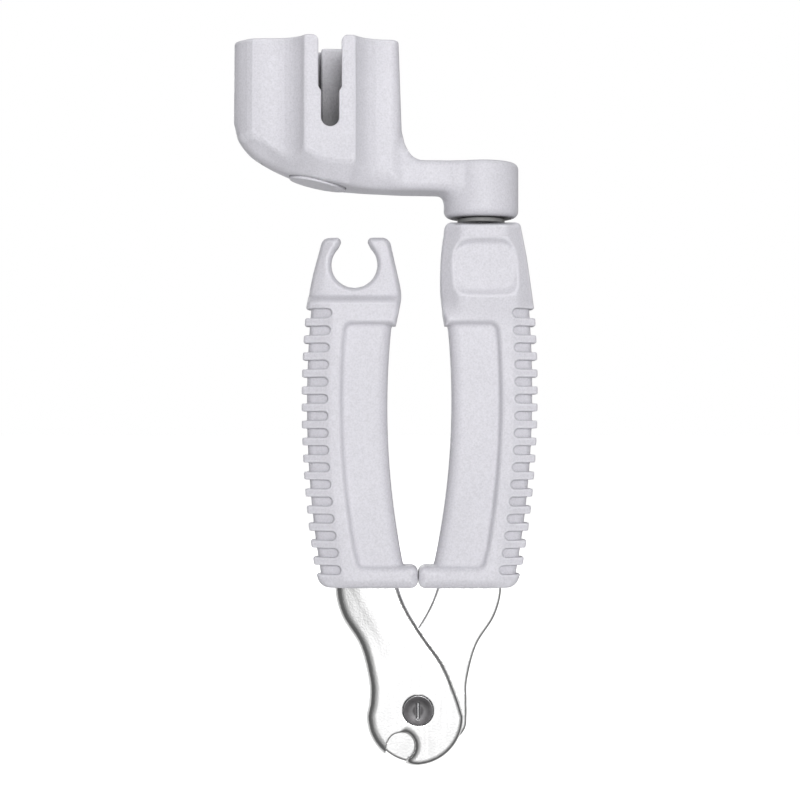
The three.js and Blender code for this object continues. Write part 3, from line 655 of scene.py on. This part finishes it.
def plug_space(along, y, z, radius):
    """Distance to a cylinder square to the sloping base, and height above the slope along it."""
    level = ARM_BOTTOM + (PLUG_CENTRE - KEEL_START) * KEEL_SLOPE
    slope = math.atan(KEEL_SLOPE)
    across = (along - PLUG_CENTRE) * math.cos(slope) + (z - level) * math.sin(slope)
    height = (z - level) * math.cos(slope) - (along - PLUG_CENTRE) * math.sin(slope)
    return np.hypot(across, y) - radius, height


def place_crank(points):
    """From the crank's own frame to the tool's."""
    angle = math.radians(CRANK_ANGLE)
    cosine, sine = math.cos(angle), math.sin(angle)
    turn = np.array([[cosine, sine, 0], [-sine, cosine, 0], [0, 0, 1]])
    return points @ turn + np.array([AXLE_X, 0, 0])


def wall_web(along, y, z):
    """The hollow-curved web between the cup's leaning wall and the top of the arm. It fills the cup's round
    corners lower down."""
    into_hub, into_cup, into_arm, edge = 0.6, 2.3, 2, 1.0
    wall = CUP_INNER - WALL_LEAN * lean_share(z) + 0.05
    height = z - ARM_TOP
    beside = np.maximum(wall - WEB_WIDTH - into_hub - along, along - wall - into_cup)
    above = np.maximum(-into_arm - height, height - WEB_HEIGHT)
    across = np.minimum((along - wall + WEB_WIDTH) / WEB_WIDTH, 1)
    up = (height - WEB_HEIGHT) / WEB_HEIGHT
    round_off = WEB_WIDTH * (1 - np.hypot(across, up))
    half_width = 4.4 + 1.6 * ease(WEB_HEIGHT, 1.5, height)
    return rounded_meet(np.maximum(np.maximum(beside, above), round_off), np.abs(y) - half_width, edge)


def web_fillet(along, z):
    """Fillet between the web and the rest of the crank. It fades out at the web's ends and inside the arm."""
    height = z - ARM_TOP
    lengthwise = ease(12.7, 15.5, along) * ease(20.6, 18.6, along)
    return 0.8 * lengthwise * ease(WEB_HEIGHT, 0.6 * WEB_HEIGHT, height) * ease(-1.5, 0, height)


def winder_crank(material):
    """Cup, arm, hub and web in one moulding, with a pocket for the plug and a bore for the axle."""
    x, y, z = axes = grid((-CUP_OUTER - 0.5, -11, HUB_BOTTOM), (HUB_RADIUS, 11, RIM), CRANK_CELL)
    along = -x
    # The cup and the arm share one base, so the fillet between them fades out towards it.
    arm_fillet = 1.2 * ease(0, 2.5, z - keel(along))
    field = join(cup(along, y, z), arm_and_hub(along, y, z), arm_fillet)
    field = join(wall_web(along, y, z), field, web_fillet(along, z))
    side, height = plug_space(along, y, z, PLUG_RADIUS + PLUG_PLAY)
    field = cut(field, np.maximum(side, height - PLUG_POCKET), 0)
    field = cut(field, hub_bore(along, y, z), 0)
    make_piece("crank", field, axes, place_crank, "crank", material, ["winder_crank"])


def base_plug(material):
    """The round disc in the cup's base, with a shallow ring on its face."""
    around = PLUG_RADIUS + 0.4
    low, high = (-PLUG_CENTRE - around, -around, 112.5), (-PLUG_CENTRE + around, around, 118.5)
    x, y, z = axes = grid(low, high, SMALL_CELL * 1.5)
    side, height = plug_space(-x, y, z, PLUG_RADIUS)
    field = rounded_meet(side, np.maximum(-PLUG_PROUD - height, height - PLUG_BACK), 0.25)
    ring_inside, ring_half, ring_depth = 1.2, 0.15, 0.1
    ring = np.maximum(np.abs(side + ring_inside) - ring_half, height + PLUG_PROUD - ring_depth)
    field = cut(field, ring, 0.1)
    make_piece("base_plug", field, axes, place_crank, "crank", material, ["cup_base_plug"])


# ---------------------------------------------------------------- blades


def blade_outline(head):
    """A blade, with its round head where it crosses the other one, and its tang inside the grip."""
    centre, radius = head["reach"], head["radius"]
    outer = [
        (17.3, 34),
        (18.4, 26.8),
        (16.9, 20.5),
        (12.9, 14),
        (10.9, 6.6),
        (10.75, 2),
        *head["shoulder"],
        *arc(centre, HEAD_Z, radius, head["start"], head["start"], 0),
    ]
    inner = [
        (centre - radius, HEAD_Z),
        (-8.5, 3.1),
        (-5.5, 10.1),
        (-0.6, 17.1),
        (3.3, 24.1),
        (6.4, 34),
    ]
    return [
        *curve(outer)[:-1],
        *arc(centre, HEAD_Z, radius, head["start"], -180, 60),
        *curve(inner)[1:],
        (9.6, 38),
        (13.4, TANG_TOP - 2),
        (14.9, TANG_TOP),
        (18.2, TANG_TOP),
        (19.6, TANG_TOP - 2),
        (17.3, 38),
    ]


def string_cut(reach, z):
    """The hook-shaped notch that the string goes into. Its mouth leans outwards."""
    ring = np.hypot(reach - CUT_REACH, z - CUT_Z) - CUT_RADIUS
    cosine, sine = math.cos(math.radians(CUT_TILT)), math.sin(math.radians(CUT_TILT))
    across = (reach - CUT_REACH) * cosine + (z - CUT_Z) * sine
    down = (reach - CUT_REACH) * sine - (z - CUT_Z) * cosine
    mouth = np.maximum(np.maximum(-across - 0.65 * CUT_RADIUS, across - 0.95 * CUT_RADIUS), -down)
    return join(ring, mouth, 0.5)


def rolled(inside, width, drop):
    """How far a face falls away near an edge that has been rolled over, from the distance inside the edge."""
    share = np.clip(inside / width, 0, 1)
    return drop * (1 - np.sqrt(1 - (1 - share) ** 2))


def outward_fall(reach, z, outline, notch, widths, crowned):
    """How far a blade's outward face falls away at its rolled edges. A crowned blade also falls away gently
    over the outer side of its shank."""
    outer, inner, notch_width = widths
    crown_drop, crown_width = 0.8, 9
    past_middle = reach - np.interp(z, [-12, 4, 14, 27, 74], [0.7, 1, 5, 11.5, 16])
    width = inner + (outer - inner) * ease(-1, 3, past_middle)
    fall = rolled(-outline, width, 0.75 * width)
    if crowned:
        near_edge = np.clip(1 + outline / crown_width, 0, 1) ** 2
        fall = fall + crown_drop * near_edge * ease(2, 28, z) * ease(0, 4, past_middle)
    inner_wall = notch_width * ease(CUT_REACH + 0.5, CUT_REACH - 1.5, reach)
    return fall + rolled(notch, 0.3 + inner_wall, 0.2 + 0.7 * inner_wall)


def blade(name, node, body, side, head, widths, material):
    """A stamped plate. The edges of its outward face are rolled over, and those of the face that slides on
    the other blade are only broken. `side` is -1 for the front blade and 1 for the rear one. Both are drawn
    on the left, and the rear one is mirrored."""
    is_front = side < 0
    low = -BLADE_GAP - BLADE_THICKNESS if is_front else BLADE_GAP
    high = low + BLADE_THICKNESS
    x, y, z = axes = grid((-20, low, -12.5), (10.6, high, TANG_TOP), BLADE_CELL)
    reach = -x
    notch = string_cut(reach, z)
    outline = polygon(blade_outline(head), reach, z)
    fall = outward_fall(reach, z, outline, notch, widths, is_front)
    broken_width, broken_drop = 0.6, 0.45
    hole_play, seat_play = 0.15, 0.03
    broken = rolled(-outline, broken_width, broken_drop)
    front_fall, back_fall = (fall, broken) if is_front else (broken, fall)
    faces = np.maximum(low + front_fall - y, y - (high - back_fall))
    plate = np.maximum(np.maximum(outline, -notch), faces)
    from_pivot = np.hypot(x, z)
    plate = np.maximum(plate, SHANK_RADIUS + hole_play - from_pivot)
    if is_front:
        seat = np.maximum(from_pivot - SCREW_RADIUS - seat_play, y - (low + SCREW_SEAT_DEPTH))
        plate = np.maximum(plate, -seat)
    else:
        axes = (-x[::-1], y, z)
        plate = plate[::-1]
    make_piece(name, plate, axes, stay, body, material, [node])


# ---------------------------------------------------------------- pivot and axle hardware


def pivot_screw(material):
    """A slotted head with a dished face, a plain shank, and a threaded end that shows behind the nut."""
    x, y, z = axes = grid((-3.4, SCREW_FACE, -3.4), (3.4, SCREW_END, 3.4), SMALL_CELL)
    radius = np.hypot(x, z)
    head_back = 0.95 - BLADES_BACK
    dish = 0.1 * ease(3.1, 1.2, radius)
    head_faces = np.maximum(SCREW_FACE + dish - y, y - head_back)
    head = rounded_meet(radius - SCREW_RADIUS, head_faces, 0.06)
    slot_half_length, slot_half_width, slot_depth = 1.6, 0.36, 0.3
    past_end = np.maximum(np.abs(z) - slot_half_length, 0)
    across = np.hypot(x, past_end) / slot_half_width
    slot = np.hypot(across, (y - SCREW_FACE - 0.1) / slot_depth) - 1
    head = cut(head, slot_depth * slot, 0.06)
    turn = np.arctan2(z, x) / (2 * math.pi)
    thread = THREAD_DEPTH * np.abs(((y / THREAD_PITCH + turn) % 1) - 0.5) * 2
    end = rounded_meet(radius - (THREAD_RADIUS - thread), y - SCREW_END, 0.3)
    shank = np.maximum(radius - SHANK_RADIUS, y - BLADES_BACK)
    field = np.minimum(head, np.maximum(np.minimum(end, shank), 0.9 - BLADES_BACK - y))
    make_piece("screw", field, axes, stay, "right_handle", material, ["pivot_screw"])


def spring_washer(material):
    """A wave washer: its ring rises and falls three times round."""
    x, y, z = axes = grid((-4, WASHER_FRONT - 0.1, -4), (4, NUT_FRONT, 4), SMALL_CELL)
    radius = np.hypot(x, z)
    rise, half_thickness = 0.12, 0.2
    wave = WASHER_FRONT + 0.35 + rise * np.sin(3 * np.arctan2(z, x))
    ring = np.maximum(radius - WASHER_RADIUS, THREAD_RADIUS + 0.15 - radius)
    field = rounded_meet(ring, np.abs(y - wave) - half_thickness, 0.08)
    nodes = ["pivot_spring_washer"]
    make_piece("wave_washer", field, axes, stay, "right_handle", material, nodes)


def pivot_nut(material):
    """A hexagon nut with turned corners."""
    x, y, z = axes = grid((-3.9, NUT_FRONT, -3.9), (3.9, NUT_BACK, 3.9), SMALL_CELL)
    flat = NUT_CORNER * math.cos(math.radians(30))
    faces_apart = [np.abs(x * math.cos(a) + z * math.sin(a)) - flat for a in np.radians([0, 60, 120])]
    hexagon = np.maximum(np.maximum(faces_apart[0], faces_apart[1]), faces_apart[2])
    radius = np.hypot(x, z)
    middle = (NUT_FRONT + NUT_BACK) / 2
    corner_cone = (radius - NUT_CORNER) * 0.5 + (np.abs(y - middle) - NUT_THICKNESS / 2 + 0.35) * 0.86
    field = rounded_meet(hexagon, np.abs(y - middle) - NUT_THICKNESS / 2, 0.12)
    field = np.maximum(field, corner_cone)
    mouth = THREAD_RADIUS + 0.05 + 0.35 * ease(middle + 0.7, NUT_BACK, y)
    field = np.maximum(field, mouth - radius)
    make_piece("nut", field, axes, stay, "right_handle", material, ["pivot_nut"])


def thrust_washer(material):
    """The collar between the neck and the hub. It is coloured dark as painted shade of the gap under the hub.
    """
    low, high = (AXLE_X - 5.3, -5.3, NECK_TOP), (AXLE_X + 5.3, 5.3, HUB_BOTTOM)
    x, y, z = axes = grid(low, high, SMALL_CELL * 1.5)
    radius = np.hypot(x - AXLE_X, y)
    middle = (NECK_TOP + HUB_BOTTOM) / 2
    half_thickness = (HUB_BOTTOM - NECK_TOP) / 2 - 0.12
    ring = np.maximum(radius - COLLAR_RADIUS, COLLAR_HOLE - radius)
    field = rounded_meet(ring, np.abs(z - middle) - half_thickness, 0.2)
    nodes = ["axle_thrust_washer"]
    make_piece("collar_washer", field, axes, stay, "right_handle", material, nodes)


# ---------------------------------------------------------------- materials


def new_material(name):
    """An empty node material, with its parts that the others need."""
    material = bpy.data.materials.new(name)
    material.use_nodes = True
    nodes = material.node_tree.nodes
    links = material.node_tree.links
    return material, nodes, links, nodes["Principled BSDF"]


def noise(nodes, links, coords, scale, detail=2.0, stretch=(1, 1, 1)):
    """A noise texture in object space. Scale is in repeats per metre, and stretch multiplies it by axis."""
    mapping = nodes.new("ShaderNodeMapping")
    mapping.inputs["Scale"].default_value = stretch
    texture = nodes.new("ShaderNodeTexNoise")
    texture.inputs["Scale"].default_value = scale
    texture.inputs["Detail"].default_value = detail
    links.new(coords.outputs["Object"], mapping.inputs["Vector"])
    links.new(mapping.outputs["Vector"], texture.inputs["Vector"])
    return texture.outputs["Fac"]


def ramp(nodes, links, source, stops):
    """A colour ramp. Stops are (position, grey or colour)."""
    node = nodes.new("ShaderNodeValToRGB")
    elements = node.color_ramp.elements
    while len(elements) < len(stops):
        elements.new(0.5)
    for element, (position, value) in zip(elements, stops):
        element.position = position
        colour = value if isinstance(value, tuple) else (value, value, value)
        element.color = (*colour, 1)
    links.new(source, node.inputs["Fac"])
    return node.outputs["Color"]


def mix(nodes, links, factor, a, b, blend="MIX"):
    """A colour mix whose factor and colours are sockets or values."""
    node = nodes.new("ShaderNodeMix")
    node.data_type = "RGBA"
    node.blend_type = blend
    for name, value in (("Factor", factor), ("A", a), ("B", b)):
        socket = next(s for s in node.inputs if s.name == name and s.enabled)
        if isinstance(value, bpy.types.NodeSocket):
            links.new(value, socket)
        else:
            socket.default_value = value
    return next(s for s in node.outputs if s.enabled)


def math_node(nodes, links, operation, *values, clamp=False):
    """A math node whose inputs are sockets or numbers."""
    node = nodes.new("ShaderNodeMath")
    node.operation = operation
    node.use_clamp = clamp
    for socket, value in zip(node.inputs, values):
        if isinstance(value, bpy.types.NodeSocket):
            links.new(value, socket)
        else:
            socket.default_value = value
    return node.outputs[0]


def bump(nodes, links, height, strength, distance, after=None):
    """A bump node, on top of an earlier one if that is given. Distance is in metres."""
    node = nodes.new("ShaderNodeBump")
    node.inputs["Strength"].default_value = strength
    node.inputs["Distance"].default_value = distance
    links.new(height, node.inputs["Height"])
    if after is not None:
        links.new(after, node.inputs["Normal"])
    return node.outputs["Normal"]


def moulded_plastic(name, colour, shade):
    """Matte plastic with a fine spark-eroded grain and slight flow marks, with sharp edges painted a little
    paler as a painted highlight.
    Deep hollows get painted shade."""
    material, nodes, links, shader = new_material(name)
    coords = nodes.new("ShaderNodeTexCoord")
    grain = noise(nodes, links, coords, 2600, 3)
    pores = noise(nodes, links, coords, 900, 2)
    clouds = noise(nodes, links, coords, 45, 3)
    cloudy = ramp(nodes, links, clouds, [(0.35, 0.0), (0.7, 1.0)])
    base = mix(nodes, links, cloudy, (*colour, 1), (*shade, 1))
    speck = ramp(nodes, links, grain, [(0.3, 0.9), (0.5, 1.0), (0.7, 1.08)])
    base = mix(nodes, links, 0.9, base, speck, "MULTIPLY")
    # Painted highlight: sharply bent edges are painted paler.
    sharpness = nodes.new("ShaderNodeAttribute")
    sharpness.attribute_name = "sharpness"
    edge_highlight = ramp(nodes, links, sharpness.outputs["Fac"], [(0.7, 0.0), (2.0, 0.27)])
    base = mix(nodes, links, edge_highlight, base, (*PLASTIC_HIGHLIGHT, 1))
    # Painted shade: the colour is darkened where the surface is closed in, as inside the cup and in the rib
    # slots.
    hollow = nodes.new("ShaderNodeAmbientOcclusion")
    hollow.inputs["Distance"].default_value = 0.05
    hollow.samples = 6
    deepest_shade = (0.07, 0.067, 0.063)
    shadow = ramp(nodes, links, hollow.outputs["AO"], [(0.06, deepest_shade), (0.46, 1.0)])
    base = mix(nodes, links, 1.0, base, shadow, "MULTIPLY")
    links.new(base, shader.inputs["Base Color"])
    rough = ramp(nodes, links, pores, [(0.3, 0.46), (0.7, 0.62)])
    links.new(rough, shader.inputs["Roughness"])
    shader.inputs["IOR"].default_value = 1.48
    shader.inputs["Specular IOR Level"].default_value = 0.4
    fine = bump(nodes, links, grain, 0.8, 0.00004)
    links.new(bump(nodes, links, pores, 0.2, 0.00005, fine), shader.inputs["Normal"])
    return material


def chrome(name):
    """Bright plating with faint polishing lines along the blade, a very fine grain and small scuffs."""
    material, nodes, links, shader = new_material(name)
    coords = nodes.new("ShaderNodeTexCoord")
    lines = noise(nodes, links, coords, 500, 4, (4, 4, 0.25))
    scuffs = noise(nodes, links, coords, 260, 6)
    tone = ramp(nodes, links, scuffs, [(0.3, 0.9), (0.6, 0.95)])
    links.new(tone, shader.inputs["Base Color"])
    shader.inputs["Metallic"].default_value = 1.0
    links.new(ramp(nodes, links, lines, [(0.3, 0.12), (0.75, 0.24)]), shader.inputs["Roughness"])
    grain = noise(nodes, links, coords, 2400, 2)
    fine = bump(nodes, links, grain, 0.9, 0.00003)
    links.new(bump(nodes, links, lines, 0.05, 0.00002, fine), shader.inputs["Normal"])
    return material


def steel(name, colour, roughness):
    """Turned steel with a fine tool grain and uneven darkening, with a painted highlight on its edges and in
    its hollows.
    """
    material, nodes, links, shader = new_material(name)
    coords = nodes.new("ShaderNodeTexCoord")
    grain = noise(nodes, links, coords, 3000, 4, (1, 6, 1))
    stain = noise(nodes, links, coords, 600, 3)
    dark = tuple(0.7 * c for c in colour)
    stained = ramp(nodes, links, stain, [(0.35, 0.0), (0.7, 1.0)])
    tone = mix(nodes, links, stained, (*colour, 1), (*dark, 1))
    # Painted highlight: sharp edges and hollows are painted bright, which makes the glint in the screw's
    # slot.
    bend = nodes.new("ShaderNodeAttribute")
    bend.attribute_name = "sharpness"
    hollow = math_node(nodes, links, "MULTIPLY", bend.outputs["Fac"], -1.0, clamp=True)
    edge = math_node(nodes, links, "MULTIPLY", bend.outputs["Fac"], 0.12, clamp=True)
    painted_glint = math_node(nodes, links, "MAXIMUM", hollow, edge)
    tone = mix(nodes, links, painted_glint, tone, (*STEEL_GLINT, 1))
    links.new(tone, shader.inputs["Base Color"])
    shader.inputs["Metallic"].default_value = 1.0
    rough = ramp(nodes, links, grain, [(0.3, roughness * 0.8), (0.7, roughness * 1.3)])
    links.new(rough, shader.inputs["Roughness"])
    links.new(bump(nodes, links, grain, 0.15, 0.00002), shader.inputs["Normal"])
    return material


def dark_nylon(name):
    """Dull dark plastic with a fine mottle. Its dark colour is painted shade for the gap under the hub."""
    material, nodes, links, shader = new_material(name)
    coords = nodes.new("ShaderNodeTexCoord")
    grain = noise(nodes, links, coords, 1800, 3)
    links.new(ramp(nodes, links, grain, [(0.3, 0.19), (0.7, 0.25)]), shader.inputs["Base Color"])
    links.new(ramp(nodes, links, grain, [(0.3, 0.5), (0.7, 0.65)]), shader.inputs["Roughness"])
    links.new(bump(nodes, links, grain, 0.2, 0.00003), shader.inputs["Normal"])
    return material


# ---------------------------------------------------------------- studio


def studio_floor():
    """A pale plain floor a little below the tool. Polished steel mirrors the studio instead of it."""
    mesh = bpy.data.meshes.new("studio_floor")
    half = 30.0
    level = -0.03
    corners = [(-half, -half, level), (half, -half, level), (half, half, level), (-half, half, level)]
    mesh.from_pydata(corners, [], [(0, 1, 2, 3)])
    floor = bpy.data.objects.new("studio_floor", mesh)
    bpy.context.scene.collection.objects.link(floor)
    floor.visible_glossy = False
    material, nodes, links, shader = new_material("studio_floor")
    coords = nodes.new("ShaderNodeTexCoord")
    path = nodes.new("ShaderNodeLightPath")
    tone = ramp(nodes, links, noise(nodes, links, coords, 8, 2), [(0.3, 0.9), (0.7, 0.94)])
    links.new(tone, shader.inputs["Base Color"])
    glow = math_node(nodes, links, "MULTIPLY", path.outputs["Is Camera Ray"], FLOOR_GLOW)
    links.new(glow, shader.inputs["Emission Strength"])
    shader.inputs["Emission Color"].default_value = (1, 1, 1, 1)
    shader.inputs["Roughness"].default_value = 0.9
    mesh.materials.append(material)


def studio_world():
    """White to the camera. As light, it is brighter in front of the tool than behind, and above than below.
    Polished steel mirrors a white front, dark cards at the sides, and the pale room behind."""
    world = bpy.data.worlds.new("studio")
    world.use_nodes = True
    bpy.context.scene.world = world
    nodes, links = world.node_tree.nodes, world.node_tree.links
    background = nodes["Background"]
    coords = nodes.new("ShaderNodeTexCoord")
    split = nodes.new("ShaderNodeSeparateXYZ")
    links.new(coords.outputs["Generated"], split.inputs["Vector"])
    path = nodes.new("ShaderNodeLightPath")
    level = math_node(nodes, links, "MULTIPLY_ADD", split.outputs["Y"], -FRONT_GAIN, AMBIENT)
    level = math_node(nodes, links, "MULTIPLY_ADD", split.outputs["Z"], TOP_GAIN, level)
    facing = math_node(nodes, links, "MULTIPLY_ADD", split.outputs["Y"], -0.5, 0.5)
    mirrored = ramp(nodes, links, facing, MIRRORED)
    seen = mix(nodes, links, path.outputs["Is Glossy Ray"], level, mirrored)
    seen = mix(nodes, links, path.outputs["Is Camera Ray"], seen, (1, 1, 1, 1))
    links.new(seen, background.inputs["Color"])


def area_light(name, place, target, size, power):
    """A round soft light that faces the target."""
    light = bpy.data.lights.new(name, "AREA")
    light.shape = "DISK"
    light.size = size
    light.energy = power
    lamp = bpy.data.objects.new(name, light)
    bpy.context.scene.collection.objects.link(lamp)
    lamp.location = place
    direction = target - lamp.location
    lamp.rotation_mode = "QUATERNION"
    lamp.rotation_quaternion = direction.to_track_quat("-Z", "Y")


def studio_camera():
    """Level with the middle of the grips, 400 mm in front of the blades, and shifted up so that the tool
    fills the picture's height."""
    distance, picture_width, eye, sideways, upwards = 400, 176, 61.4, -3.96, 0.0375
    data = bpy.data.cameras.new("camera")
    data.sensor_width = 36
    data.lens = 36 * distance / picture_width
    data.shift_y = upwards
    data.clip_start = 0.01
    data.clip_end = 100
    camera = bpy.data.objects.new("camera", data)
    bpy.context.scene.collection.objects.link(camera)
    camera.location = (PIVOT + np.array([sideways, -distance, eye])) * MM
    camera.rotation_euler = (math.radians(90), 0, 0)
    bpy.context.scene.camera = camera


# ---------------------------------------------------------------- build

plastic = moulded_plastic("grip_plastic", PLASTIC_COLOUR, PLASTIC_SHADE)
plating = chrome("blade_chrome")
dark_steel = steel("dark_steel", DARK_STEEL, 0.35)
plain_steel = steel("plain_steel", PLAIN_STEEL, 0.28)
# painted shade: the collar is coloured dark for the shaded gap under the hub
collar_shade = dark_nylon("dark_nylon")

left_grip(plastic)
right_grip(plastic)
winder_crank(plastic)
base_plug(plastic)
blade("blade_front", "left_blade", "left_handle", -1, FRONT_HEAD, FRONT_ROLL, plating)
blade("blade_rear", "right_blade", "right_handle", 1, REAR_HEAD, REAR_ROLL, plating)
pivot_screw(dark_steel)
spring_washer(plain_steel)
pivot_nut(plain_steel)
thrust_washer(collar_shade)
# The axle and its ring are hidden, so they keep the CAD's shapes and only get a material.
for node in ("crank_axle", "axle_retaining_ring"):
    hidden = frame["nodes"][node]
    hidden.data.materials.clear()
    hidden.data.materials.append(plain_steel)

studio_floor()
studio_world()
studio_camera()
bpy.context.scene.view_settings.view_transform = "Standard"
centre = (cad_bounds[0] + cad_bounds[1]) / 2
area_light("key", centre + Vector((0.12, -1.2, 0.25)), centre, 0.5, KEY_WATTS)
area_light("overhead", centre + Vector((0, -0.1, 1.2)), centre, 0.8, OVERHEAD_WATTS)
area_light("back", centre + Vector((-0.3, 1.2, 0.4)), centre, 0.8, BACK_WATTS)
